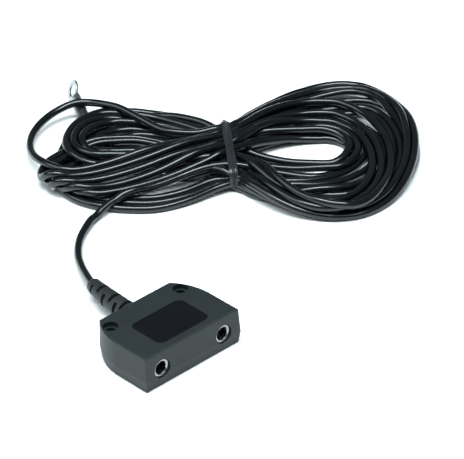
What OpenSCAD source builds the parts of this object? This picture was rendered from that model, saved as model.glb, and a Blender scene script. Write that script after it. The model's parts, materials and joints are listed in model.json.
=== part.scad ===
// Common-ground point: a two-socket block with a strain relief, a long thin cord tied in a hank,
// and a crimped ring terminal. Millimetres, +Z up, origin at the bottom centre of the block.
// The sockets face -Y and the cord leaves towards +Y.

/* [Housing] */
// Width of the block along X
block_w = 38; // [37:0.5:40]
// Depth of the block along Y
block_d = 26; // [25.5:0.5:28]
// Height of the block
block_h = 12; // [12:0.5:14]
// Thickness of the side walls
wall_t = 2; // [1.8:0.1:2.2]
// Thickness of the top wall
top_t = 2.2; // [2:0.1:2.4]
// Radius of the rounded back shoulders
shoulder_r = 20; // [19.8:0.1:20.5]
// Height of the widest line round the block
widest_z = 4; // [3:0.5:6]
// How far the underside is drawn in from the widest line
draft_low = 0.5; // [0.2:0.1:0.6]
// How far the top is drawn in from the widest line
draft_top = 0.35; // [0.1:0.05:0.4]
// Size of the broken outer edges
edge_r = 0.3; // [0.1:0.1:0.5]

/* [Label] */
// Width of the blank label
label_w = 20.2; // [16:0.2:22]
// Depth of the blank label
label_d = 13.8; // [10:0.2:14]
// Corner radius of the label
label_r = 2.3; // [1:0.1:3]
// Centre of the label along Y
label_y = -3; // [-3.5:0.5:-2]
// Depth of the recess that the label sits in
label_recess = 0.3; // [0.2:0.05:0.5]
// Thickness of the label
label_t = 0.18; // [0.1:0.02:0.2]

/* [Screw holes] */
// Distance between the two bench screw holes
screw_spacing = 28; // [27.6:0.2:28.4]
// Position of the bench screw holes along Y
screw_y = 7.7; // [7.5:0.1:7.8]
// Radius of the bench screw holes
screw_hole_r = 1.6; // [1.5:0.1:1.7]
// Radius of the counterbore for the screw head
screw_head_r = 2.4; // [2.2:0.1:2.5]
// Depth of the counterbore
screw_head_depth = 1.6; // [1:0.1:2]

/* [Sockets] */
// Distance between the two socket centres
socket_spacing = 24.6; // [24:0.2:25]
// Height of the socket centres
socket_z = 6; // [5.8:0.1:6.2]
// Radius of the bore that takes a 4 mm plug
socket_bore_r = 2.05; // [2:0.01:2.1]
// Outer radius of the metal sleeve
sleeve_r = 2.7; // [2.6:0.05:2.8]
// Radius of the opening in the plastic round the sleeve
mouth_r = 3.05; // [2.9:0.05:3.2]
// How far the sleeve sits behind the front face
mouth_depth = 0.7; // [0.4:0.1:1]

/* [Cord] */
// Diameter of the cord
cord_d = 2.6; // [2.2:0.1:2.6]
// Radius of the strain relief where it leaves the block
relief_base_r = 3.45; // [3.2:0.05:3.5]
// Radius of the strain relief at its tip
relief_tip_r = 2.4; // [2.2:0.1:2.5]
// Height of the tied hank
hank_h = 10; // [9.5:0.5:13]
// Width of the wire tie's band
tie_w = 3.2; // [2.5:0.1:4]
// Thickness of the wire tie's band
tie_t = 0.8; // [0.5:0.1:1]

/* [Ring terminal] */
// Outer radius of the terminal's ring
ring_r = 3.6; // [3.4:0.1:4]
// Radius of the stud hole
stud_hole_r = 2.15; // [2.1:0.05:2.2]
// Thickness of the terminal's metal
ring_t = 0.8; // [0.6:0.1:1]
// Outer radius of the crimped barrel
barrel_r = 1.7; // [1.6:0.1:1.8]
// Outer radius of the sleeve over the barrel
boot_r = 2; // [1.95:0.05:2.2]

/* [Hidden] */

// Overlap that lets a cut run clean through a face
eps = 0.5;
// Side gap between the bottom cover and its rebate
cover_gap = 0.1;
cover_t = 1.8;
rebate_inset = 1.1;
cavity_top = block_h - top_t;

// Bosses inside the housing
boss_r = 3;
cover_screw_x = 5;
cover_screw_y = -6;
cover_screw_r = 1.1;
cover_screw_len = 7;
cover_head_r = 1.9;
cover_head_t = 1;
cover_boss_r = 2.2;

// Stations along Y of what sits behind the sockets
sleeve_front = -block_d / 2 + mouth_depth;
sleeve_back = 1.5;
bore_back = 0.6;
mouth_chamfer = 0.3;
tail_r = 1.25;
tail_back = 4.3;
rib_t = 2;
tag_t = 0.5;
tag_r = 2.5;
tag_arm_w = 2;
tag_eye_x = 8;
tag_eye_r = 0.6;
nut_flats = 5;
nut_t = 1.6;

// Resistors, their leads and the splice
resistor_y = 4.2;
resistor_r = 1.1;
resistor_waist_r = 0.9;
resistor_inner_x = 1.8;
resistor_outer_x = 7;
lead_r = 0.3;
ferrule_front = 5.4;
ferrule_back = 9.3;
ferrule_r = 1.4;
ferrule_bore_r = 0.95;
lead_x = 0.6;
core_r = 0.55;
core_front = 7.4;

// Cord route from inside the block, through the strain relief and along the surface to the hank
cord_r = cord_d / 2;
relief_route = [[0, 9.4, 6], [0, 13, 6], [0.3, 18, 6], [1, 24, 5.9], [2.1, 30, 5.6], [3.3, 34.5, 5.1],
                [4.2, 37, 4.7]];
lead_route = [[5.8, 40.5, 4.1], [8.2, 45.3, 3.2], [11.2, 50.7, 2.3], [14.5, 55.7, 1.6], [18.2, 60, 1.35],
              [22.9, 64.1, 1.35], [28.1, 67.1, 1.7], [33.8, 69.4, 3], [39.5, 70.8, 4.6]];
end_route = [[69.2, 113.4, 1.5], [71.5, 117.8, 2], [74.2, 123.1, 2.5]];
rings_per_span = 2;
cord_sides = 8;

// Strain relief: neck in the wall, collar behind it, and how the taper bows out and rounds off
relief_neck_r = 2.9;
relief_collar_r = 3.6;
relief_bow = 1.6;
relief_nose = 0.93;
relief_lip = 0.25;
relief_sides = 24;
relief_steps = 26;

// The hank lies along its own U and V axes, centred on the wire tie
tie_at = [85.5, 62, 0];
hank_angle = -43.5;
tie_slant = 5;
waist_v = 1.3;
waist_w = 33.6;
waist_h = 7.2;
// Circles, as [u, v, radius], whose outline is each end of the hank
left_lobe = [[-46, -4, 13.5], [-43, 16, 14.5], [-28, -13, 14.5], [-5, 1.3, 18], [-27, 22, 15.5],
             [-38, 22.5, 15]];
right_lobe = [[38, 31, 21], [44.5, 8, 18], [40, -11, 18.5], [33, -16, 20.5], [5, 1.3, 18],
              [24, 30, 19.5]];
// The one loop that lies out past the rest
loop_ends = [[-46, 16, 21], [-35, 14, 20]];
loop_w = 3;
loop_h = 5;
// Twisted ends of the wire tie, lying straight back from it
tie_tail_len = 9;
tie_tail_r = 1.1;
tie_tail_z = 1.3;

// The ring terminal's place: local X runs from the ring back to the cord
ring_at = [79.3, 132.8, 3.6];
ring_yaw = -117.5;
ring_dip = 5.5;
ring_roll = 68;
neck_w = 3;
barrel_start = 4.6;
barrel_end = 10;
barrel_bore_r = 0.9;
boot_start = 7.5;
boot_end = 17;
crimp_r = 0.8;
sleeve_gap = 0.05;

$fn = 48;

// ---- Paths ----------------------------------------------------------------------------------

function unit(v) = v / norm(v);
function between(a, b, c, d, t) =
    (2 * b + (c - a) * t + (2 * a - 5 * b + 4 * c - d) * t * t
     + (3 * b - a - 3 * c + d) * t * t * t) / 2;
function smooth(p, n) =
    let (last = len(p) - 1)
    [for (i = [0 : last - 1]) for (k = [0 : n - 1])
        between(p[max(i - 1, 0)], p[i], p[i + 1], p[min(i + 2, last)], k / n), p[last]];
function heading(p, i) = unit(p[min(i + 1, len(p) - 1)] - p[max(i - 1, 0)]);
function ring_points(p, i, r, sides) =
    let (along = heading(p, i), side = unit(cross(along, [0, 0, 1])), up = cross(side, along))
    [for (k = [0 : sides - 1]) p[i] + r * (cos(360 * k / sides) * side + sin(360 * k / sides) * up)];
function at_share(p, s) =
    let (x = s * (len(p) - 1), i = min(floor(x), len(p) - 2))
    p[i] + (x - i) * (p[i + 1] - p[i]);

// A tube of the given radius at each point of a path
module sweep(path, radii, sides) {
    n = len(path);
    skin = [for (i = [0 : n - 2]) for (k = [0 : sides - 1])
        let (a = i * sides + k, b = i * sides + (k + 1) % sides)
        each [[a, b, b + sides], [a, b + sides, a + sides]]];
    caps = [[for (k = [sides - 1 : -1 : 0]) k], [for (k = [0 : sides - 1]) (n - 1) * sides + k]];
    polyhedron([for (i = [0 : n - 1]) each ring_points(path, i, radii[i], sides)],
               concat(skin, caps), convexity = 4);
}

cord_path = smooth(concat(relief_route, lead_route), rings_per_span);
end_path = smooth(end_route, rings_per_span);

module cord_tube(path) {
    sweep(path, [for (p = path) cord_r], cord_sides);
}

// ---- Block ----------------------------------------------------------------------------------

// Plan of the block, drawn in by inset all round
module plan(inset) {
    half_w = block_w / 2 - inset;
    half_d = block_d / 2 - inset;
    translate([-half_w, -half_d]) square([2 * half_w, half_d]);
    intersection() {
        translate([-half_w, -eps]) square([2 * half_w, half_d + eps]);
        translate([block_w / 2 - shoulder_r, 0]) circle(shoulder_r - inset, $fn = 160);
        translate([shoulder_r - block_w / 2, 0]) circle(shoulder_r - inset, $fn = 160);
    }
}

module plan_layer(z, inset) {
    translate([0, 0, z]) linear_extrude(0.001) plan(inset);
}

module block_skin() {
    hull() {
        plan_layer(0, draft_low + edge_r);
        plan_layer(edge_r, draft_low);
        plan_layer(widest_z, 0);
        plan_layer(block_h - edge_r, draft_top);
        plan_layer(block_h - 0.35 * edge_r, draft_top + 0.35 * edge_r);
        plan_layer(block_h - 0.001, draft_top + edge_r);
    }
}

module at_bench_screws() {
    for (side = [-1, 1]) translate([side * screw_spacing / 2, screw_y, 0]) children();
}

module at_cover_screws() {
    for (side = [-1, 1]) translate([side * cover_screw_x, cover_screw_y, 0]) children();
}

// Children drawn along +Z run along +Y from y_from, at a socket's centre
module at_socket(side, y_from) {
    translate([side * socket_spacing / 2, y_from, socket_z]) rotate([-90, 0, 0]) children();
}

// Children drawn along +Z run along +Y from y_from, on the block's centre line
module at_centre(y_from) {
    translate([0, y_from, socket_z]) rotate([-90, 0, 0]) children();
}

module rounded_plate(w, d, r, h) {
    translate([-w / 2 + r, -d / 2, 0]) cube([w - 2 * r, d, h]);
    translate([-w / 2, -d / 2 + r, 0]) cube([w, d - 2 * r, h]);
    for (x = [-1, 1]) for (y = [-1, 1])
        translate([x * (w / 2 - r), y * (d / 2 - r), 0]) cylinder(h, r = r);
}

module housing_inside() {
    difference() {
        union() {
            translate([0, 0, cover_t - 0.01])
                linear_extrude(cavity_top - cover_t + 0.01) plan(wall_t);
            translate([0, 0, -eps]) linear_extrude(cover_t + eps) plan(rebate_inset);
        }
        at_bench_screws() translate([0, 0, cover_t]) cylinder(block_h, r = boss_r);
        at_cover_screws() translate([0, 0, cover_t]) cylinder(block_h, r = cover_boss_r);
        for (side = [-1, 1]) translate([side * (socket_spacing / 2 + 1), 0, cover_t + block_h / 2])
            cube([8.4, rib_t, block_h], center = true);
    }
}

module housing() {
    color([0.22, 0.245, 0.25]) difference() {
        block_skin();
        housing_inside();
        at_bench_screws() {
            translate([0, 0, -eps]) cylinder(block_h + 2 * eps, r = screw_hole_r);
            translate([0, 0, block_h - screw_head_depth]) cylinder(block_h, r = screw_head_r);
        }
        at_cover_screws() cylinder(cover_screw_len + 1, r = cover_screw_r);
        for (side = [-1, 1]) {
            at_socket(side, -block_d / 2 - eps) cylinder(mouth_depth + eps, r = mouth_r);
            at_socket(side, -block_d / 2) cylinder(block_d / 2 + sleeve_back, r = sleeve_r);
        }
        at_centre(block_d / 2 - wall_t - eps) cylinder(wall_t + 2 * eps, r = relief_neck_r);
        translate([-relief_neck_r, block_d / 2 - wall_t - eps, cover_t - 0.01])
            cube([2 * relief_neck_r, wall_t + 2 * eps, socket_z - cover_t]);
        translate([0, label_y, block_h - label_recess])
            rounded_plate(label_w, label_d, label_r, block_h);
    }
}

module bottom_cover() {
    tongue_w = 2 * relief_neck_r - 2 * cover_gap;
    color([0.2, 0.22, 0.225]) difference() {
        union() {
            linear_extrude(cover_t) plan(rebate_inset + cover_gap);
            translate([-tongue_w / 2, block_d / 2 - wall_t + cover_gap, cover_t - 0.01])
                cube([tongue_w, wall_t - rebate_inset - cover_gap, socket_z - cover_t]);
        }
        at_centre(block_d / 2 - wall_t - eps) cylinder(wall_t + 2 * eps, r = relief_neck_r + 0.02);
        at_bench_screws() translate([0, 0, -eps]) cylinder(cover_t + 2 * eps, r = screw_hole_r);
        at_cover_screws() {
            translate([0, 0, -eps]) cylinder(cover_t + 2 * eps, r = cover_screw_r + cover_gap);
            translate([0, 0, -eps]) cylinder(cover_head_t + eps, r = cover_head_r + cover_gap);
        }
    }
}

module label_inlay() {
    color([0.12, 0.13, 0.145]) translate([0, label_y, block_h - label_recess])
        rounded_plate(label_w - cover_gap, label_d - cover_gap, label_r, label_t);
}

module cover_screws() {
    slot_w = 0.5;
    color([0.6, 0.6, 0.62]) at_cover_screws() difference() {
        union() {
            translate([0, 0, 0.1]) cylinder(cover_head_t - 0.1, r = cover_head_r);
            cylinder(cover_screw_len, r = cover_screw_r);
        }
        for (turn = [0, 90]) rotate([0, 0, turn]) cube([2.2, slot_w, 1.2], center = true);
    }
}

// ---- Sockets and wiring ---------------------------------------------------------------------

module socket(side) {
    color([0.78, 0.78, 0.76]) difference() {
        union() {
            at_socket(side, sleeve_front) cylinder(sleeve_back - sleeve_front, r = sleeve_r);
            at_socket(side, sleeve_back - 0.01) cylinder(tail_back - sleeve_back, r = tail_r);
        }
        at_socket(side, sleeve_front - eps)
            cylinder(bore_back - sleeve_front + eps, r = socket_bore_r);
        at_socket(side, sleeve_front - 0.01)
            cylinder(mouth_chamfer, r1 = socket_bore_r + mouth_chamfer, r2 = socket_bore_r);
    }
}

module socket_nut(side) {
    color([0.75, 0.73, 0.68]) difference() {
        at_socket(side, sleeve_back + tag_t) cylinder(nut_t, d = nut_flats / cos(30), $fn = 6);
        at_socket(side, sleeve_back) cylinder(nut_t + 2, r = tail_r);
    }
}

module solder_tag(side) {
    arm_len = socket_spacing / 2 - tag_eye_x + tag_arm_w / 2;
    color([0.8, 0.8, 0.78]) difference() {
        union() {
            at_socket(side, sleeve_back) cylinder(tag_t, r = tag_r);
            translate([side * (socket_spacing / 2 - arm_len / 2), sleeve_back + tag_t / 2, socket_z])
                cube([arm_len, tag_t, tag_arm_w], center = true);
        }
        at_socket(side, sleeve_back - eps) cylinder(tag_t + 2 * eps, r = tail_r);
        translate([side * tag_eye_x, sleeve_back - eps, socket_z]) rotate([-90, 0, 0])
            cylinder(tag_t + 2 * eps, r = tag_eye_r);
    }
}

// Resistor body: a slim waist between two fuller ends
module resistor(side) {
    body_len = resistor_outer_x - resistor_inner_x;
    end_len = 1.4;
    color([0.42, 0.62, 0.74])
        translate([side * resistor_inner_x, resistor_y, socket_z]) rotate([0, side * 90, 0]) {
            cylinder(body_len, r = resistor_waist_r);
            cylinder(end_len, r = resistor_r);
            translate([0, 0, body_len - end_len]) cylinder(end_len, r = resistor_r);
        }
}

// A straight piece of lead wire with round ends
module wire(from, to) {
    run = to - from;
    translate(from) sphere(lead_r, $fn = 16);
    translate(to) sphere(lead_r, $fn = 16);
    translate(from) rotate([0, acos(run[2] / norm(run)), atan2(run[1], run[0])])
        cylinder(norm(run), r = lead_r, $fn = 16);
}

module resistor_leads(side) {
    corner_out = [side * tag_eye_x, resistor_y, socket_z];
    corner_in = [side * lead_x, resistor_y, socket_z];
    color([0.8, 0.8, 0.8]) difference() {
        union() {
            wire([side * resistor_outer_x, resistor_y, socket_z], corner_out);
            wire(corner_out, [side * tag_eye_x, sleeve_back - 0.3, socket_z]);
            wire([side * resistor_inner_x, resistor_y, socket_z], corner_in);
            wire(corner_in, [side * lead_x, ferrule_front + 1.4, socket_z]);
        }
        translate([side * (resistor_inner_x + resistor_outer_x) / 2, resistor_y, socket_z])
            rotate([0, 90, 0])
                cylinder(resistor_outer_x - resistor_inner_x, r = resistor_r, center = true);
    }
}

module splice_ferrule() {
    color([0.72, 0.7, 0.66]) difference() {
        at_centre(ferrule_front) cylinder(ferrule_back - ferrule_front, r = ferrule_r);
        at_centre(ferrule_front - eps)
            cylinder(ferrule_back - ferrule_front + 2 * eps, r = ferrule_bore_r);
    }
}

module cord_core() {
    color([0.75, 0.45, 0.25])
        at_centre(core_front) cylinder(relief_route[0][1] - core_front, r = core_r);
}

// ---- Cord, strain relief, hank and tie --------------------------------------------------------

// Radius of the strain relief at a share s of its length
function relief_radius(s) =
    s < relief_nose
    ? relief_base_r + (relief_tip_r - relief_base_r) * pow(s / relief_nose, relief_bow)
    : relief_tip_r - (relief_tip_r - cord_r - relief_lip) * pow((s - relief_nose) / (1 - relief_nose), 2);

module strain_relief() {
    outside = smooth([for (i = [1 : len(relief_route) - 1]) relief_route[i]], 6);
    shares = [for (k = [0 : relief_steps]) k / relief_steps];
    wall_in = block_d / 2 - wall_t;
    color([0.27, 0.285, 0.295]) difference() {
        union() {
            sweep([for (s = shares) at_share(outside, s)], [for (s = shares) relief_radius(s)],
                  relief_sides);
            at_centre(wall_in - 0.2) cylinder(wall_t + 0.6, r = relief_neck_r);
            at_centre(wall_in - 1.2) cylinder(1.1, r = relief_collar_r);
        }
        cord_tube(cord_path);
    }
}

module cord_lead() {
    color([0.04, 0.045, 0.05]) cord_tube(cord_path);
}

module at_tie() {
    translate(tie_at) rotate([0, 0, hank_angle]) children();
}

module lobe(circles, h) {
    hull() for (c = circles) translate([c[0], c[1], 0]) cylinder(h, r = c[2], $fn = 40);
}

module outlying_loop() {
    inner = [for (c = loop_ends) [c[0], c[1], c[2] - loop_w]];
    difference() {
        lobe(loop_ends, loop_h);
        translate([0, 0, -eps]) lobe(inner, loop_h + 2 * eps);
    }
}

// Band round the waist, drawn out by grow
module waist_block(grow, w) {
    h = waist_h + 2 * grow;
    translate([0, waist_v, tie_t + waist_h / 2]) rotate([0, 0, tie_slant]) rotate([90, 0, 90])
        translate([0, 0, -w / 2]) rounded_plate(waist_w + 2 * grow, h, 3 + grow, w);
}

module cord_hank() {
    color([0.05, 0.055, 0.06]) difference() {
        at_tie() difference() {
            union() {
                lobe(left_lobe, hank_h);
                lobe(right_lobe, hank_h);
                outlying_loop();
            }
            difference() {
                translate([0, waist_v, 0]) rotate([0, 0, tie_slant])
                    cube([tie_w, 2 * waist_w, 3 * hank_h], center = true);
                waist_block(0, tie_w + 2);
            }
        }
        cord_tube(cord_path);
        cord_tube(end_path);
        at_terminal() {
            translate([-ring_r - 1, 0, 0]) rotate([0, 90, 0]) cylinder(boot_end + ring_r + 1, r = 4.2);
        }
    }
}

module wire_tie() {
    color([0.1, 0.1, 0.11]) at_tie() {
        difference() {
            waist_block(tie_t, tie_w);
            waist_block(0, tie_w + 2);
        }
        translate([0, waist_v, tie_tail_z]) rotate([0, 0, tie_slant])
            translate([0, waist_w / 2 + tie_t / 4, 0]) rotate([-90, 0, 0])
                cylinder(tie_tail_len, r = tie_tail_r);
    }
}

module cord_end() {
    color([0.04, 0.045, 0.05]) cord_tube(end_path);
}

// ---- Ring terminal ----------------------------------------------------------------------------

module at_terminal() {
    translate(ring_at) rotate([0, 0, ring_yaw]) rotate([0, ring_dip, 0]) rotate([ring_roll, 0, 0])
        children();
}

module ring_terminal() {
    color([0.82, 0.83, 0.84]) at_terminal() difference() {
        union() {
            cylinder(ring_t, r = ring_r, center = true);
            translate([0, -neck_w / 2, -ring_t / 2]) cube([barrel_start + 1, neck_w, ring_t]);
            translate([barrel_start, 0, 0]) rotate([0, 90, 0])
                cylinder(barrel_end - barrel_start, r = barrel_r);
        }
        cylinder(ring_t + 2 * eps, r = stud_hole_r, center = true);
        translate([barrel_start + 1, 0, 0]) rotate([0, 90, 0]) cylinder(barrel_end, r = barrel_bore_r);
        translate([barrel_start + 1.6, 0, barrel_r + crimp_r / 2]) rotate([90, 0, 0])
            cylinder(2 * barrel_r, r = crimp_r, center = true);
    }
}

module terminal_sleeve() {
    color([0.08, 0.085, 0.09]) at_terminal() difference() {
        translate([boot_start, 0, 0]) rotate([0, 90, 0]) cylinder(boot_end - boot_start, r = boot_r);
        translate([boot_start - eps, 0, 0]) rotate([0, 90, 0])
            cylinder(barrel_end - boot_start + eps, r = barrel_r);
        translate([barrel_end - 0.01, 0, 0]) rotate([0, 90, 0])
            cylinder(boot_end - barrel_end + eps, r = cord_r + sleeve_gap);
    }
}

// ---- Nodes ------------------------------------------------------------------------------------

housing();
bottom_cover();
label_inlay();
cover_screws();
socket(-1);  // socket_left
socket(1);  // socket_right
socket_nut(-1);  // socket_nut_left
socket_nut(1);  // socket_nut_right
solder_tag(-1);  // solder_tag_left
solder_tag(1);  // solder_tag_right
resistor(-1);  // resistor_left
resistor(1);  // resistor_right
resistor_leads(-1);  // resistor_leads_left
resistor_leads(1);  // resistor_leads_right
splice_ferrule();
cord_core();
strain_relief();
cord_lead();
cord_hank();
wire_tie();
cord_end();
ring_terminal();
terminal_sleeve();
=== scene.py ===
"""Common-ground point: a two-socket block, its strain relief, a long cord tied in a hank and a
ring terminal."""

import math

import bpy
import numpy as np
from mathutils import Matrix, Vector
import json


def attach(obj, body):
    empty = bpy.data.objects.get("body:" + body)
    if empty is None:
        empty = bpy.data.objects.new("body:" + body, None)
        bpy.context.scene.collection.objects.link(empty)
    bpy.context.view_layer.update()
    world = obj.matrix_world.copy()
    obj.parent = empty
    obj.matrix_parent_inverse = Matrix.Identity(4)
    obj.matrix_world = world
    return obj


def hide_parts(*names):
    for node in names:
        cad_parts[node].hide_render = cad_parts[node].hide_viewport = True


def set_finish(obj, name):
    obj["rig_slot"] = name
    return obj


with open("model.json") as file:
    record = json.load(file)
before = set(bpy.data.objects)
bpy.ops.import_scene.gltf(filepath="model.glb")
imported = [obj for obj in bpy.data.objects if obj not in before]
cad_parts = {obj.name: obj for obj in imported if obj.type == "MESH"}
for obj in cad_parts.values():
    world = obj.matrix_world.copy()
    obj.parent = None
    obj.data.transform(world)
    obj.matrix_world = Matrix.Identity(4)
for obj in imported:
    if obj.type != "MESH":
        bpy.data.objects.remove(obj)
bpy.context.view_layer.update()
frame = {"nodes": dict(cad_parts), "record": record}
MM = 0.001


# ---- Camera -----------------------------------------------------------------------------------

CAMERA_TARGET = Vector((0.0602, 0.0343, 0.0))
CAMERA_DISTANCE = 0.953
CAMERA_AZIMUTH = math.radians(-42.5)
CAMERA_ELEVATION = math.radians(32.5)
CAMERA_ROLL = math.radians(-1.87)
CAMERA_LENS = 233.6


def make_camera():
    data = bpy.data.cameras.new("camera")
    data.lens = CAMERA_LENS
    data.sensor_width = 36
    data.clip_start = 0.05
    data.clip_end = 20
    camera = bpy.data.objects.new("camera", data)
    bpy.context.scene.collection.objects.link(camera)
    az, el = CAMERA_AZIMUTH, CAMERA_ELEVATION
    back = Vector((math.sin(az) * math.cos(el), -math.cos(az) * math.cos(el), math.sin(el)))
    right = Vector((math.cos(az), math.sin(az), 0))
    up = back.cross(right)
    turn_cos, turn_sin = math.cos(CAMERA_ROLL), math.sin(CAMERA_ROLL)
    axis_x = turn_cos * right + turn_sin * up
    axis_y = turn_cos * up - turn_sin * right
    place = Matrix((axis_x, axis_y, back)).transposed().to_4x4()
    place.translation = CAMERA_TARGET + back * CAMERA_DISTANCE
    camera.matrix_world = place
    bpy.context.scene.camera = camera


make_camera()


# ---- Cord: the laid route, then the turns of the hank ------------------------------------------

CORD_D = 0.0026
CORD_R = CORD_D / 2

# Inside the block, through the strain relief and along the surface, as in the CAD source
RELIEF_ROUTE = [(0, 0.0094, 0.006), (0, 0.013, 0.006), (0.0003, 0.018, 0.006), (0.001, 0.024, 0.0059),
                (0.0021, 0.03, 0.0056), (0.0033, 0.0345, 0.0051), (0.0042, 0.037, 0.0047)]
LEAD_ROUTE = [(0.0058, 0.0405, 0.0041), (0.0082, 0.0453, 0.0032), (0.0112, 0.0507, 0.0023),
              (0.0145, 0.0557, 0.0016), (0.0182, 0.06, 0.00135), (0.0229, 0.0641, 0.00135),
              (0.0281, 0.0671, 0.0017), (0.0338, 0.0694, 0.003), (0.0395, 0.0708, 0.0046)]
END_ROUTE = [(0.0692, 0.1134, 0.0015), (0.0715, 0.1178, 0.002), (0.0742, 0.1231, 0.0025)]

# The hank's own axes: U along it, V across it, from the wire tie's centre
TIE_AT = np.array([0.0855, 0.062, 0.0])
HANK_TURN = math.radians(-43.5)
WAIST_V = 1.3 * MM
WAIST_HALF = 16.8 * MM
WAIST_TOP = 7.2 * MM
TIE_THICK = 0.8 * MM
TIE_W = 2.9 * MM
TIE_CORNER = 3 * MM
TIE_SLANT = math.radians(5)

# The ring terminal, from its ring's centre back to the end of the sleeve over its barrel
RING_AT = Vector((0.0793, 0.1328, 0.0036))
SLEEVE_END = Vector((0.07149, 0.1178, 0.00197))
SLEEVE_R = 2 * MM


def to_world(points):
    """Points in the hank's own axes, moved to where the hank lies."""
    c, s = math.cos(HANK_TURN), math.sin(HANK_TURN)
    return points @ np.array([[c, s, 0], [-s, c, 0], [0, 0, 1]]) + TIE_AT


def to_hank(points):
    c, s = math.cos(HANK_TURN), math.sin(HANK_TURN)
    return (np.asarray(points, float) - TIE_AT) @ np.array([[c, -s, 0], [s, c, 0], [0, 0, 1]])


# Each kind of loop, first and last of its kind, in mm: the front side's furthest height across
# the hank and where along it that is as a share of the reach, the tip's reach and height, then
# the back side's share and height
LOOPS = {
    "inner": ((-9.8, 0.60, 40, 7, 0.74, 17), (-9.8, 0.60, 40, 7, 0.74, 17)),
    "window": ((-5, 0.80, 43, 8, 0.70, 20), (-2, 0.80, 40, 8, 0.74, 16.5)),
    "mid": ((-16.5, 0.22, 46, 14, 0.66, 19.5), (-22, 0.52, 50.5, 0, 0.62, 27)),
    "near": ((-31, 0.64, 46, -5, 0.62, 22), (-35, 0.66, 51.5, -3, 0.56, 36)),
    "wide": ((-24, 0.58, 57, 6, 0.78, 30), (-33.5, 0.58, 58.7, 11, 0.64, 53)),
    "oval": ((-26, 0.44, 55, -3, 0.62, 36), (-21.5, 0.48, 52, -1, 0.62, 30)),
    "small": ((0, 0.66, 40, 9, 0.70, 17.5), (-2, 0.78, 54.5, 11, 0.74, 31)),
    "narrow": ((-20.5, 0.84, 52, -12, 0.50, 4), (-13.8, 0.90, 61, -7, 0.50, 13)),
    "outer": ((-8, 0.76, 64.8, 15, 0.72, 37), (-8, 0.76, 64.8, 15, 0.72, 37)),
}
# How high the front and the back of each kind are held before they are let down
LEVEL = {"wide": (0, 1), "oval": (0, 0.5), "window": (0.5, 1.5), "inner": (1.5, 2), "mid": (1, 1.8),
         "small": (1.5, 1.5), "near": (2.5, 2.5), "narrow": (3, 0.3), "outer": (3.5, 3.5)}
# A right-hand loop that sets out from elsewhere than its neighbour's end
SET_OUT = {"window": 8.0}
LEVEL_STEP, TURN_GAP = 10.0, 0.75
# Where a left-hand loop's front and back ends cross the waist, first and last of its kind in mm,
# and whether each end crosses it on top
WAIST = {
    "oval": ((-14, -11.5), False, (16, 13), True),
    "small": ((-7, 0), False, (6, 13), False),
    "narrow": ((1.8, 12.2), True, (-10, -3), False),
    "outer": ((14.8, 14.8), True, (17, 17), True),
}
# The loops in the order that the cord runs through them, right-hand and left-hand in turn. A
# plus sets out along the front and comes back along the back, a minus the other way about
TURNS = """+inner +narrow +mid -small +mid -small +mid -small +wide -oval +wide -oval +wide -oval
           +near +narrow +window -small +near +narrow +wide -small +window -small +near +narrow
           +wide +outer -wide""".split()
# How the front and the back bow out from the waist: 1 is straight, 2 leaves the waist at twice that
# slope, and 0 keeps close to the hank before it swings out
BOW = {"narrow": (1.25, 1.25), "outer": (1.25, 0), "oval": (1.6, 2)}
HALF_STEPS = 5

# Letting the turns down: the step along the cord, how many times shifts and heights are smoothed
# in a pass, and the share of a shift that each pass keeps
STEP = 3.2 * MM
SHIFT_EASE = 10
HEIGHT_EASE = 4
SHIFT_KEPT = 0.985
# How often the plan is smoothed near the waist, how far from it, and how that fades out
WAIST_EASE, WAIST_EASE_HALF, WAIST_EASE_FADE = 5, 7 * MM, 1.6
# The radius of the hump where a turn passes over the terminal
HUMP_R = 25 * MM


def first_to_last(pair, turns, k):
    """The value for the turn at k, between the first and the last turn of its kind."""
    same = [i for i, turn in enumerate(turns) if turn[1:] == turns[k][1:]]
    share = same.index(k) / max(len(same) - 1, 1)
    return pair[0] + (pair[1] - pair[0]) * share


def bow_share(along, bow):
    if bow:
        return 1 - (1 - along) ** bow
    swing = max(along - 0.25, 0) / 0.75
    return swing**2 * (3 - 2 * swing)


def half_loop(waist_v, bulge_at, bulge_v, bow, reach, tip_v):
    """Points from the waist out to the tip, both ends left out: an opening bow, then a round quarter."""
    points = []
    for k in range(1, HALF_STEPS + 1):
        s = k / HALF_STEPS
        points.append((reach * bulge_at * s, waist_v + (bulge_v - waist_v) * bow_share(s, bow)))
    for k in range(1, HALF_STEPS):
        angle = 0.5 * math.pi * k / HALF_STEPS
        points.append((reach * (bulge_at + (1 - bulge_at) * math.sin(angle)),
                       bulge_v + (tip_v - bulge_v) * (1 - math.cos(angle))))
    return points


def held_height(waist_z, level, other_level, along):
    """How high a loop is held, from the waist (0) to its tip (1), where it meets its other side."""
    toward_tip = max(2 * along - 1, 0)
    rise = min(2.2 * along, 1)
    tip_level = level + (other_level - level) * 0.5 * toward_tip**2 * (3 - 2 * toward_tip)
    return waist_z + (tip_level - waist_z) * rise


def crossing(turns, k, front):
    """Where an end of the left-hand loop at k crosses the waist, and whether on top."""
    front_v, front_top, back_v, back_top = WAIST[turns[k][1:]]
    if front:
        return first_to_last(front_v, turns, k), front_top
    return first_to_last(back_v, turns, k), back_top


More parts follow.
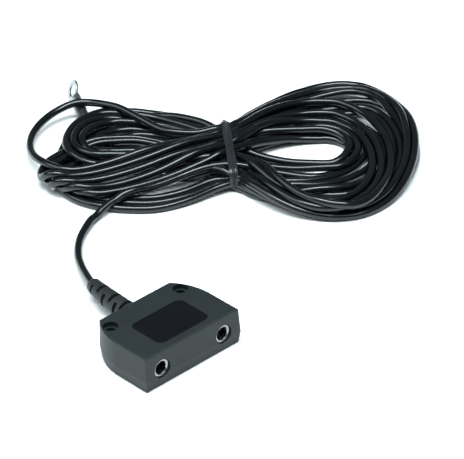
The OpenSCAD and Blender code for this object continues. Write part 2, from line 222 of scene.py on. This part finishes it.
def laid_turns():
    """The points that the cord passes through from the lead to the terminal, held above the surface."""
    low, high = 3.0, LEVEL_STEP * 4 + 6
    waist_v, waist_z = -8.3, LEVEL_STEP * 2
    points = [(-39.2, -26.2, 9), (-35.6, -23.2, 16), (-32, -21.2, 22), (-28.2, -19.3, 24),
              (-21.4, -15.8, 24), (-12.3, -11, 22), (0, waist_v, waist_z)]
    for k, turn in enumerate(TURNS):
        side = 1 if k % 2 == 0 else -1
        front_v, front_at, reach, tip_v, back_at, back_v = (
            first_to_last(pair, TURNS, k) for pair in zip(*LOOPS[turn[1:]]))
        # The pass over the waist after this loop belongs to the left-hand loop beside it
        if k == len(TURNS) - 1:
            next_v, on_top = -12.5, False
        elif side > 0:
            next_v, on_top = crossing(TURNS, k + 1, TURNS[k + 1][0] == "+")
        else:
            next_v, on_top = crossing(TURNS, k, turn[0] == "-")
            next_v = SET_OUT.get(TURNS[k + 1][1:], next_v)
        lift = TURN_GAP * k
        next_z = (high if on_top else low) + lift
        bows = BOW.get(turn[1:], (2, 2))
        ends = [(front_at, front_v, bows[0]), (back_at, back_v, bows[1])]
        levels = [low + lift + LEVEL_STEP * share for share in LEVEL[turn[1:]]]
        if turn[0] == "-":
            ends.reverse()
            levels.reverse()
        away = half_loop(waist_v, *ends[0], reach, tip_v)
        home = half_loop(next_v, *ends[1], reach, tip_v)
        for (u, v), s in zip(away, np.linspace(0, 1, len(away) + 2)[1:]):
            points.append((side * u, v, held_height(waist_z, *levels, s)))
        points.append((side * reach, tip_v, sum(levels) / 2))
        for (u, v), s in zip(home[::-1], np.linspace(0, 1, len(home) + 2)[-2:0:-1]):
            points.append((side * u, v, held_height(next_z, *levels[::-1], s)))
        points.append((0, next_v, next_z))
        waist_v, waist_z = next_v, next_z
    # The last stretch runs under the left-hand loops
    points += [(-12, -9, low), (-25, -3.5, 2), (-36, 2.5, 1.5), (-43.5, 10, 1.5), (-46.2, 18, 1.5)]
    return np.array(points, float) * MM


def spline(points, steps):
    """A smooth curve through the points (centripetal Catmull-Rom), with that many steps a span."""
    points = np.asarray(points, float)
    padded = np.vstack([2 * points[0] - points[1], points, 2 * points[-1] - points[-2]])
    t = np.linspace(0, 1, steps, endpoint=False)[:, None]
    runs = []
    for p0, p1, p2, p3 in zip(padded, padded[1:], padded[2:], padded[3:]):
        spans = ((p0, p1), (p1, p2), (p2, p3))
        k01, k12, k23 = (math.sqrt(np.linalg.norm((b - a)[:2])) + 1e-6 for a, b in spans)
        m1 = p2 - p1 + k12 * ((p1 - p0) / k01 - (p2 - p0) / (k01 + k12))
        m2 = p2 - p1 + k12 * ((p3 - p2) / k23 - (p3 - p1) / (k12 + k23))
        runs.append((2 * t**3 - 3 * t**2 + 1) * p1 + (t**3 - 2 * t**2 + t) * m1
                    + (3 * t**2 - 2 * t**3) * p2 + (t**3 - t**2) * m2)
    return np.vstack(runs + [points[-1:]])


def even_steps(points, step, flat=False):
    """The same line at even steps, measured in plan where flat is set."""
    measured = points[:, :2] if flat else points
    run = np.r_[0, np.cumsum(np.linalg.norm(np.diff(measured, axis=0), axis=1))]
    at = np.linspace(0, run[-1], int(round(run[-1] / step)) + 1)
    return np.stack([np.interp(at, run, points[:, k]) for k in range(3)], 1)


def nearest_on_segments(p1, q1, p2, q2):
    """Where two sets of segments come closest: shares along each, and the vector between."""
    d1, d2, r = q1 - p1, q2 - p2, p1 - p2
    a, e, f = (d1 * d1).sum(1), (d2 * d2).sum(1), (d2 * r).sum(1)
    c, b = (d1 * r).sum(1), (d1 * d2).sum(1)
    spread = a * e - b * b
    s = np.where(spread > 1e-6 * a * e, np.clip((b * f - c * e) / np.maximum(spread, 1e-30), 0, 1), 0.5)
    t = np.clip((b * s + f) / e, 0, 1)
    s = np.clip((b * t - c) / a, 0, 1)
    t = np.clip((b * s + f) / e, 0, 1)
    return s, t, (p1 + d1 * s[:, None]) - (p2 + d2 * t[:, None])


def near_pairs(line, reach):
    """Pairs of segments whose middles are within reach, leaving out neighbours along the cord."""
    mid = 0.5 * (line[:-1] + line[1:])
    order = np.argsort(mid[:, 0], kind="stable")
    ends = np.searchsorted(mid[order, 0], mid[order, 0] + reach)
    first, second = [], []
    for a, b in enumerate(ends):
        rest = order[a + 1:b]
        close = ((mid[rest] - mid[order[a]]) ** 2).sum(1) < reach * reach
        first.append(np.full(close.sum(), order[a]))
        second.append(rest[close])
    first, second = np.concatenate(first), np.concatenate(second)
    low, high = np.minimum(first, second), np.maximum(first, second)
    apart = high - low > 4
    return low[apart], high[apart]


def push_apart(line, free, low, high, relax):
    """One pass that moves segments which lie in each other until they only touch."""
    count = len(line)
    s, t, gap = nearest_on_segments(line[low], line[low + 1], line[high], line[high + 1])
    size = np.sqrt((gap * gap).sum(1)) + 1e-9
    hit = size < CORD_D
    i, j, s, t, gap, size = low[hit], high[hit], s[hit], t[hit], gap[hit], size[hit]
    ends = ((i, 1 - s, 1), (i + 1, s, 1), (j, 1 - t, -1), (j + 1, t, -1))
    share = sum(free[k] * w**2 for k, w, _ in ends) + 1e-6
    push = np.minimum((CORD_D - size) / share, 0.5 * CORD_D) * relax
    moved, weight = np.zeros_like(line), np.zeros(count)
    for k, w, sign in ends:
        for axis in range(3):
            moved[:, axis] += np.bincount(k, gap[:, axis] / size * push * w * sign, count)
        weight += np.bincount(k, w, count)
    return line + free[:, None] * moved / np.maximum(weight, 1)[:, None] ** 0.6


def height_over(line, start, end, clear):
    """The least height of each point, where it lies over the straight piece between start and end."""
    way = (end - start)[:2]
    from_start = line[:, :2] - start[:2]
    share = from_start @ way / (way @ way)
    aside = (from_start[:, 0] * way[1] - from_start[:, 1] * way[0]) / np.linalg.norm(way)
    top = start[2] + share * (end[2] - start[2]) + clear - aside**2 / (2 * HUMP_R)
    return np.where((share > -0.1) & (share < 0.9), top, 0)


def eased(values, passes):
    for _ in range(passes):
        middle = 0.25 * values[:-2] + 0.5 * values[1:-1] + 0.25 * values[2:]
        values = np.vstack([values[:1], middle, values[-1:]])
    return values


def draw_waist(line, done):
    """Draws the cords in beside and under the wire tie as it closes, to its band's rounded outline."""
    across = line[:, 1] - WAIST_V
    beyond = np.abs(line[:, 0] + math.tan(TIE_SLANT) * across)
    near = beyond < 14 * MM
    beyond = np.maximum(beyond - 2 * MM, 0)
    half = np.interp(done, [0, 0.5], [WAIST_HALF + 6 * MM, WAIST_HALF]) - CORD_R + 1.8 * beyond
    across = np.clip(across, -half, half)
    corner = TIE_CORNER - CORD_R
    rounding = corner - np.sqrt(corner**2 - np.clip(np.abs(across) - half + corner, 0, corner) ** 2)
    top = np.interp(done, [0, 0.7], [60 * MM, WAIST_TOP]) - CORD_R + TIE_THICK + 0.7 * beyond - rounding
    line[near, 1] = WAIST_V + across[near]
    line[near, 2] = np.minimum(line[near, 2], top[near])


def let_down(laid, held, passes):
    """Lets the held turns down onto the surface and each other: they keep their plan, apart from
    smooth shifts that make room, and the wire tie draws the waist together."""
    line, free, count = laid.copy(), np.where(held, 0.0, 1.0), len(laid)
    floor = CORD_R + TIE_THICK * np.clip(1.6 - np.abs(laid[:, 0]) / (2.5 * MM), 0, 1)
    ring, sleeve = to_hank([RING_AT, SLEEVE_END])
    body = np.arange(count) < count - 20

    def kept(moved, done):
        draw_waist(moved, done)
        low = np.maximum(floor, np.where(body, height_over(moved, ring, sleeve, SLEEVE_R + CORD_R), 0))
        moved[:, 2] = np.maximum(moved[:, 2], low)
        return np.where(held[:, None], laid, moved)

    for step in range(passes):
        done = step / passes
        line[:, 2] -= free * np.interp(done, [0, 0.5, 0.8, 0.9], [0.8, 0.35, 0.2, 0.02]) * MM
        shift = line[:, :2] - laid[:, :2]
        calm = eased(shift, SHIFT_EASE) * SHIFT_KEPT
        line[:, :2] += free[:, None] * (calm - shift) * 0.6
        calm = eased(line[:, 2:], HEIGHT_EASE)[:, 0]
        line[:, 2] += free * (calm - line[:, 2]) * 0.5
        line = kept(line, done)
        if step % 6 == 0:
            low, high = near_pairs(line, 2.5 * CORD_D + STEP)
        relax = np.interp(done, [0.8, 1], [0.7, 0.35])
        for _ in range(4):
            line = kept(push_apart(line, free, low, high, relax), done)
    return kept(laid + eased(line - laid, 2), 1.0)


def cord_line():
    """The cord's centreline from inside the block to the ring terminal, in the row frame."""
    lead = to_hank(LEAD_ROUTE)
    end = to_hank(END_ROUTE)
    laid = even_steps(spline(np.vstack([lead[:-1], laid_turns(), end]), 8), STEP, flat=True)
    at_waist = np.clip(WAIST_EASE_FADE - np.abs(laid[:, :1]) / WAIST_EASE_HALF, 0, 1)
    laid[:, :2] += at_waist * (eased(laid, WAIST_EASE) - laid)[:, :2]
    held_start = int(np.argmin(np.linalg.norm(laid[:40, :2] - lead[-2, :2], axis=1)))
    held = np.zeros(len(laid), bool)
    held[:held_start] = True
    held[-4:] = True
    settled = let_down(laid, held, 320)
    line = spline(np.vstack([np.array(RELIEF_ROUTE), to_world(settled)]), 3)
    line[:, 2] = np.maximum(line[:, 2], CORD_R)
    return line


def sweep_frames(points):
    """Two axes across the line at each point, carried along it without twist."""
    run = np.gradient(points, axis=0)
    run /= np.linalg.norm(run, axis=1)[:, None]
    across = np.cross(run[0], (0, 0, 1))
    first = []
    for direction in run:
        across = across - direction * (across @ direction)
        across /= np.linalg.norm(across)
        first.append(across)
    first = np.array(first)
    return first, np.cross(run, first)


def mesh_object(name, verts, faces, slot, sharp=None):
    """A smooth-shaded mesh that rides on the part, with hard edges past the angle given in degrees."""
    data = bpy.data.meshes.new(name)
    data.from_pydata([tuple(map(float, v)) for v in verts], [], [tuple(map(int, f)) for f in faces])
    data.validate()
    data.polygons.foreach_set("use_smooth", [True] * len(data.polygons))
    if sharp:
        data.set_sharp_from_angle(angle=math.radians(sharp))
    obj = bpy.data.objects.new(name, data)
    bpy.context.scene.collection.objects.link(obj)
    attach(obj, "root")
    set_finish(obj, slot)
    return obj


def loft(rings, closed=False):
    """Vertices and faces of a skin over rings of points, closed on itself or with a fan over each end."""
    rings = np.asarray(rings, float)
    count, sides = rings.shape[:2]
    verts = rings.reshape(-1, 3)
    faces = []
    for k in range(count if closed else count - 1):
        after = (k + 1) % count
        for s in range(sides):
            t = (s + 1) % sides
            faces.append((k * sides + s, k * sides + t, after * sides + t, after * sides + s))
    if not closed:
        verts = np.vstack([verts, rings[0].mean(0), rings[-1].mean(0)])
        last = (count - 1) * sides
        for s in range(sides):
            t = (s + 1) % sides
            faces += [(t, s, count * sides), (last + s, last + t, count * sides + 1)]
    return verts, faces


def joined(*parts):
    """Several skins as one list of vertices and one of faces."""
    verts, faces = [], []
    for part_verts, part_faces in parts:
        faces += [tuple(i + len(verts) for i in face) for face in part_faces]
        verts += list(part_verts)
    return verts, faces


def circles(points, radii, sides, frames=None):
    """A ring of points round each point of a line; radii may also differ round each ring."""
    first, second = frames or sweep_frames(points)
    angle = np.arange(sides) * 2 * math.pi / sides
    if np.ndim(radii) == 1:
        radii = np.reshape(radii, (-1, 1))
    radii = np.broadcast_to(radii, (len(points), sides))
    return np.array([p + r[:, None] * (np.cos(angle)[:, None] * a + np.sin(angle)[:, None] * b)
                     for p, r, a, b in zip(points, radii, first, second)])


centreline = cord_line()
cord = mesh_object("cord", *loft(circles(centreline, CORD_R, 12)), "cord_jacket")
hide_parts("cord_lead", "cord_hank", "cord_end")


# ---- Strain relief: a tapered sleeve round the cord, slotted in turn across and from above ---------

RELIEF_BACK, RELIEF_WALL = 9.8 * MM, 13 * MM
RELIEF_BASE_R, RELIEF_TIP_R, RELIEF_NECK_R, RELIEF_COLLAR_R = 3.45 * MM, 2.4 * MM, 2.9 * MM, 3.6 * MM
RELIEF_NOSE, RELIEF_BOW, RELIEF_LIP = 0.93, 1.6, 0.25 * MM
RELIEF_SIDES = 72
SLOTS, SLOT_FIRST, SLOT_PITCH, SLOT_SPREAD = 6, 3.7 * MM, 2.5 * MM, 0.16 * MM
SLOT_W, SLOT_LIP, SLOT_FLOOR_R, SLOT_HALF_ANGLE = 1.3 * MM, 0.07 * MM, 1.5 * MM, 55


def relief_radius(share):
    if share < RELIEF_NOSE:
        return RELIEF_BASE_R + (RELIEF_TIP_R - RELIEF_BASE_R) * (share / RELIEF_NOSE) ** RELIEF_BOW
    past = (share - RELIEF_NOSE) / (1 - RELIEF_NOSE)
    return RELIEF_TIP_R - (RELIEF_TIP_R - CORD_R - RELIEF_LIP) * past**2


def make_relief():
    line = spline(RELIEF_ROUTE, 16)
    run = np.r_[0, np.cumsum(np.linalg.norm(np.diff(line, axis=0), axis=1))]
    wall, end = (np.interp(y, line[:, 1], run) for y in (RELIEF_WALL, line[-1, 1]))
    slots = [wall + SLOT_FIRST + SLOT_PITCH * k + SLOT_SPREAD * k * k for k in range(SLOTS)]
    edges = [(at, at - side * 0.5 * SLOT_W, side) for at in slots for side in (1, -1)]
    plain = np.linspace(wall, end, 60)
    plain = [at for at in plain if min(abs(at - slot) for slot in slots) > 0.5 * SLOT_W + 2 * SLOT_LIP]
    stations = sorted([(at, None) for at in plain]
                      + [(edge, None) for _, edge, _ in edges]
                      + [(edge + side * SLOT_LIP, slots.index(at)) for at, edge, side in edges])
    angle = np.arange(RELIEF_SIDES) * 360 / RELIEF_SIDES
    at, radii = [], []
    for back, r in ((0.0, RELIEF_COLLAR_R), (1.1 * MM, RELIEF_COLLAR_R), (1.12 * MM, RELIEF_NECK_R)):
        at.append(np.interp(RELIEF_BACK + back, line[:, 1], run))
        radii.append(np.full(RELIEF_SIDES, r))
    at.append(wall - 0.02 * MM)
    radii.append(np.full(RELIEF_SIDES, RELIEF_NECK_R))
    for station, slot in stations:
        r = np.full(RELIEF_SIDES, relief_radius((station - wall) / (end - wall)))
        if slot is not None:
            # Slots from above and below alternate with slots from the two sides
            across = np.abs((angle + (90 if slot % 2 else 0) + 90) % 180 - 90)
            r[across < SLOT_HALF_ANGLE] = SLOT_FLOOR_R
        at.append(station)
        radii.append(r)
    centres = np.stack([np.interp(at, run, line[:, k]) for k in range(3)], 1)
    along = np.gradient(line, axis=0)
    along = np.stack([np.interp(at, run, along[:, k]) for k in range(3)], 1)
    along /= np.linalg.norm(along, axis=1)[:, None]
    up = np.array((0, 0, 1)) - along * along[:, 2:]
    up /= np.linalg.norm(up, axis=1)[:, None]
    frames = up, np.cross(along, up)
    outer = circles(centres, np.array(radii), RELIEF_SIDES, frames)
    bore = circles(centres, np.full(len(at), CORD_R), RELIEF_SIDES, frames)
    skin = loft(np.concatenate([outer, bore[::-1]]), closed=True)
    relief = mesh_object("relief_sleeve", *skin, "relief", 35)
    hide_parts("strain_relief")
    return relief


relief = make_relief()


# ---- Wire tie: a flat film band with a wire along its middle, and its two twisted ends ---------------

WIRE_R = 0.5 * MM
TAIL_LENGTH, TAIL_R, TAIL_TURNS, TAIL_Z = 9 * MM, 0.55 * MM, 2.5, 1.35 * MM


def at_tie(points):
    """Points drawn square to the hank, U across the band, turned by the band's slant."""
    c, s = math.cos(TIE_SLANT), math.sin(TIE_SLANT)
    turned = np.asarray(points, float).reshape(-1, 3) @ np.array([[c, s, 0], [-s, c, 0], [0, 0, 1]])
    return to_world(turned + np.array([0, WAIST_V, 0]))


def band_rings():
    """Cross-sections of the band round the waist, each with a raised line over the wire."""
    half_v, half_z = WAIST_HALF - TIE_CORNER, 0.5 * WAIST_TOP - TIE_CORNER
    corners = ((half_v, half_z), (-half_v, half_z), (-half_v, -half_z), (half_v, -half_z))
    outline = []
    for quarter, (v, z) in enumerate(corners):
        for k in range(9):
            turn = math.radians(90 * quarter + 90 * k / 8)
            outline.append((v, z, math.cos(turn), math.sin(turn)))
        if quarter in (0, 2):
            away = 1 if quarter == 0 else -1
            for k in range(1, 16):
                outline.append((away * (half_v - 2 * half_v * k / 16), z, 0.0, away * 1.0))
    half_w = 0.5 * TIE_W
    profile = [(-half_w, 0.06), (-0.55 * half_w, 0.32), (-0.5 * WIRE_R, 0.3), (-0.4 * WIRE_R, 0.62),
               (0, 0.8), (0.4 * WIRE_R, 0.62), (0.5 * WIRE_R, 0.3), (0.55 * half_w, 0.32),
               (half_w, 0.06), (half_w, -0.1), (0, -0.1), (-half_w, -0.1)]
    profile = [(u * (1.8 if 0 < abs(u) < WIRE_R else 1), out * MM) for u, out in profile]
    rings = []
    for k, (v, z, out_v, out_z) in enumerate(outline):
        # The film is pinched and tilted a little here and there
        pinch = 1 - 0.1 * max(0, math.sin(0.45 * k)) ** 2
        tilt = 0.08 * MM * math.sin(0.6 * k)
        rings.append([(u * pinch, v + out_v * (TIE_CORNER + out + tilt * u / half_w),
                       0.5 * WAIST_TOP + TIE_THICK + z + out_z * (TIE_CORNER + out + tilt * u / half_w))
                      for u, out in profile])
    rings = np.array(rings)
    return at_tie(rings).reshape(rings.shape)


def tail_rings(side):
    """One of the two ends, wound round the other and opened at its tip."""
    share = np.linspace(0, 1, 48)
    wind = side * math.pi / 2 + share * TAIL_TURNS * 2 * math.pi
    apart = TAIL_R * (1 + 0.6 * np.maximum(share - 0.85, 0) / 0.15)
    line = np.stack([apart * np.cos(wind), WAIST_HALF + 0.3 * MM + share * (TAIL_LENGTH - TAIL_R),
                     TAIL_Z + apart * np.sin(wind)], 1)
    line[:, 2] = np.maximum(line[:, 2], TAIL_R * 1.05)
    return circles(at_tie(line), np.full(len(line), TAIL_R), 10)


band = loft(band_rings(), closed=True)
tie = mesh_object("tie_band", *joined(band, loft(tail_rings(1)), loft(tail_rings(-1))), "tie_film", 50)
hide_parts("wire_tie")


# ---- Ring terminal: a stamped ring and neck rolled into a crimped barrel, and its sleeve ---------------

RING_R, STUD_HOLE_R, RING_T, RING_EDGE = 3.6 * MM, 2.15 * MM, 0.8 * MM, 0.15 * MM
BARREL_R, BARREL_START, BARREL_BORE_R = 1.7 * MM, 4.6 * MM, 0.9 * MM
RING_TURN = [math.radians(a) for a in (-117.5, 5.5, 68)]


def at_terminal(points):
    """Points drawn with the ring flat at the origin and the barrel along X."""
    yaw, dip, roll = RING_TURN
    turn = Matrix.Rotation(yaw, 3, "Z") @ Matrix.Rotation(dip, 3, "Y") @ Matrix.Rotation(roll, 3, "X")
    return np.asarray(points, float).reshape(-1, 3) @ np.array(turn).T + np.array(RING_AT)


def placed(rings, closed=False):
    rings = np.array(rings, float)
    return loft(at_terminal(rings).reshape(rings.shape), closed=closed)


def around_x(x, r, flat=1.0, dent=0.0, sides=28):
    """A ring of points round the barrel's axis, squashed to a share of its height and dented on top."""
    points = []
    for k in range(sides):
        a = 2 * math.pi * k / sides
        sink = dent * max(0, math.sin(a)) ** 6
        points.append((x, r * math.cos(a) * (2 - flat) ** 0.5, (r * flat - sink) * math.sin(a)))
    return points


def make_terminal():
    half_t, hoop = 0.5 * RING_T, []
    section = [(STUD_HOLE_R, -half_t + RING_EDGE), (STUD_HOLE_R, half_t - RING_EDGE),
               (STUD_HOLE_R + RING_EDGE, half_t), (RING_R - RING_EDGE, half_t), (RING_R, half_t - RING_EDGE),
               (RING_R, -half_t + RING_EDGE), (RING_R - RING_EDGE, -half_t),
               (STUD_HOLE_R + RING_EDGE, -half_t)]
    for k in range(72):
        a = 2 * math.pi * k / 72
        hoop.append([(r * math.cos(a), r * math.sin(a), z) for r, z in section])
    # The neck widens and rounds from a flat strip into the barrel
    neck = []
    for k in range(9):
        share = k / 8
        grown = share**2 * (3 - 2 * share)
        x = RING_R - 0.6 * MM + share * (BARREL_START - RING_R + 1.2 * MM)
        neck.append(around_x(x, 1.5 * MM + 0.2 * MM * grown, 0.27 + 0.73 * grown))
    barrel = []
    for x, dent in ((4.9, 0), (5.5, 0), (5.9, 0.35), (6.3, 0.55), (6.7, 0.35), (7.1, 0), (10, 0)):
        barrel.append(around_x(x * MM, BARREL_R, 1, dent * MM))
    barrel += [around_x(x * MM, BARREL_BORE_R) for x in (9.98, 5.6)]
    skins = joined(placed(hoop, True), placed(neck), placed(barrel))
    terminal = mesh_object("terminal_metal", *skins, "tinned", 40)
    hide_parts("ring_terminal")
    skin = [(7.5, 1.78), (7.5, 1.9), (7.6, 2), (10.2, 2), (10.8, 1.9), (12, 1.82), (16.2, 1.7), (16.9, 1.6),
            (17, 1.45), (17, 1.36), (10.1, 1.36), (10.1, 1.75)]
    rings = [around_x(x * MM, r * MM) for x, r in skin]
    sleeve = mesh_object("terminal_boot", *placed(rings, True), "boot", 50)
    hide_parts("terminal_sleeve")
    return terminal, sleeve


terminal, sleeve = make_terminal()


# ---- Materials --------------------------------------------------------------------------------


def new_material(name):
    material = bpy.data.materials.new(name)
    material.use_nodes = True
    nodes = material.node_tree.nodes
    return material, nodes, material.node_tree.links, nodes["Principled BSDF"]


def noise(nodes, links, scale, detail, coords=None):
    texture = nodes.new("ShaderNodeTexNoise")
    texture.inputs["Scale"].default_value = scale
    texture.inputs["Detail"].default_value = detail
    if coords is None:
        coords = nodes.new("ShaderNodeTexCoord").outputs["Object"]
    links.new(coords, texture.inputs["Vector"])
    return texture.outputs["Fac"]


def ramp(nodes, links, source, stops):
    node = nodes.new("ShaderNodeValToRGB")
    while len(node.color_ramp.elements) < len(stops):
        node.color_ramp.elements.new(0.5)
    for element, (at, colour) in zip(node.color_ramp.elements, stops):
        element.position = at
        element.color = (*colour, 1)
    links.new(source, node.inputs["Fac"])
    return node.outputs["Color"]


def span(nodes, links, source, low, high):
    node = nodes.new("ShaderNodeMapRange")
    node.inputs["To Min"].default_value = low
    node.inputs["To Max"].default_value = high
    links.new(source, node.inputs["Value"])
    return node.outputs["Result"]


def bump(nodes, links, shader, source, strength, distance):
    node = nodes.new("ShaderNodeBump")
    node.inputs["Strength"].default_value = strength
    node.inputs["Distance"].default_value = distance
    links.new(source, node.inputs["Height"])
    links.new(node.outputs["Normal"], shader.inputs["Normal"])
    return node


def moulded(name, dark, light, rough, grain, depth, specular=0.5):
    """Moulded plastic: a slow tint, a fine spark-eroded grain and uneven gloss."""
    material, nodes, links, shader = new_material(name)
    slow = noise(nodes, links, 90, 3)
    fine = noise(nodes, links, grain, 4)
    links.new(ramp(nodes, links, slow, ((0.3, dark), (0.7, light))), shader.inputs["Base Color"])
    links.new(span(nodes, links, fine, rough - 0.06, rough + 0.08), shader.inputs["Roughness"])
    shader.inputs["Specular IOR Level"].default_value = specular
    bump(nodes, links, shader, fine, 0.5, depth)
    return material


def metal(name, dark, light, rough, grain):
    material, nodes, links, shader = new_material(name)
    worn = noise(nodes, links, grain, 5)
    links.new(ramp(nodes, links, worn, ((0.3, dark), (0.7, light))), shader.inputs["Base Color"])
    links.new(span(nodes, links, worn, rough - 0.08, rough + 0.12), shader.inputs["Roughness"])
    shader.inputs["Metallic"].default_value = 1
    bump(nodes, links, shader, worn, 0.15, 0.00002)
    return material


MATERIALS = {
    "housing": moulded("housing_plastic", (0.0075, 0.0110, 0.0120), (0.0100, 0.0142, 0.0152), 0.5, 2600,
                       0.00005, 0.4),
    "cover": moulded("cover_plastic", (0.027, 0.032, 0.034), (0.033, 0.039, 0.041), 0.55, 2600, 0.00005),
    "label": moulded("label_film", (0.0028, 0.0034, 0.0045), (0.0038, 0.0045, 0.0058), 0.42, 3800,
                     0.00002, 0.12),
    "screw_steel": metal("zinc_steel", (0.45, 0.45, 0.46), (0.6, 0.6, 0.62), 0.35, 800),
    "nickel": metal("nickel", (0.34, 0.35, 0.35), (0.45, 0.46, 0.46), 0.26, 1500),
    "tinned": metal("tinned_copper", (0.36, 0.40, 0.41), (0.52, 0.57, 0.58), 0.3, 1200),
    "resistor_body": moulded("resistor_lacquer", (0.12, 0.30, 0.42), (0.16, 0.38, 0.52), 0.3, 1500, 0.00002),
    "copper": metal("copper_strands", (0.55, 0.25, 0.13), (0.75, 0.4, 0.25), 0.35, 3000),
    "relief": moulded("relief_pvc", (0.0095, 0.0115, 0.0125), (0.013, 0.0155, 0.017), 0.5, 2200,
                      0.00004, 0.4),
    "cord_jacket": moulded("cord_pvc", (0.002, 0.003, 0.0035), (0.0035, 0.005, 0.0057), 0.2, 900,
                           0.000002),
    "tie_film": moulded("tie_plastic", (0.012, 0.0135, 0.0165), (0.017, 0.019, 0.023), 0.36, 1500, 0.00002),
    "boot": moulded("boot_pvc", (0.009, 0.013, 0.0145), (0.013, 0.018, 0.0195), 0.4, 1500, 0.00002),
}


def paint(obj, slot):
    if not obj.material_slots:
        obj.data.materials.append(MATERIALS[slot])
    for place in obj.material_slots:
        place.material = MATERIALS[slot]


for part in frame["record"]["subparts"]:
    paint(frame["nodes"][part["node"]], part["material_slot"])
for piece in (cord, relief, tie, terminal, sleeve):
    paint(piece, piece["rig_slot"])


# ---- Floor, light and finish --------------------------------------------------------------------


def make_floor():
    half = 3.0
    data = bpy.data.meshes.new("floor")
    corners = [(-half, -half, 0), (half, -half, 0), (half, half, 0), (-half, half, 0)]
    data.from_pydata(corners, [], [(0, 1, 2, 3)])
    floor = bpy.data.objects.new("floor", data)
    bpy.context.scene.collection.objects.link(floor)
    material, nodes, links, shader = new_material("floor_paint")
    shader.inputs["Roughness"].default_value = 0.9
    shader.inputs["Specular IOR Level"].default_value = 0.1
    tone = noise(nodes, links, 3, 2)
    links.new(ramp(nodes, links, tone, ((0.2, (0.86, 0.86, 0.86)), (0.8, (0.88, 0.88, 0.88)))),
              shader.inputs["Base Color"])
    data.materials.append(material)


def make_light(name, azimuth, elevation, distance, size, power):
    data = bpy.data.lights.new(name, "AREA")
    data.shape = "RECTANGLE"
    data.size, data.size_y = size
    data.energy = power
    data.color = (0.86, 0.97, 1.0)
    light = bpy.data.objects.new(name, data)
    bpy.context.scene.collection.objects.link(light)
    az, el = math.radians(azimuth), math.radians(elevation)
    toward = Vector((math.sin(az) * math.cos(el), -math.cos(az) * math.cos(el), math.sin(el)))
    light.location = CAMERA_TARGET + toward * distance
    light.rotation_euler = toward.to_track_quat("Z", "Y").to_euler()


def make_world():
    world = bpy.data.worlds.new("studio")
    world.use_nodes = True
    world.node_tree.nodes["Background"].inputs["Color"].default_value = (0.9, 0.95, 1, 1)
    world.node_tree.nodes["Background"].inputs["Strength"].default_value = 0.12
    bpy.context.scene.world = world


make_floor()
make_world()
make_light("key", -50, 80, 1.0, (1.0, 0.26), 16)
make_light("fill", -42, 70, 1.6, (2.0, 1.2), 16)
make_light("left", -125, 38, 1.3, (0.9, 0.7), 7)
bpy.context.scene.view_settings.view_transform = "Standard"

import json
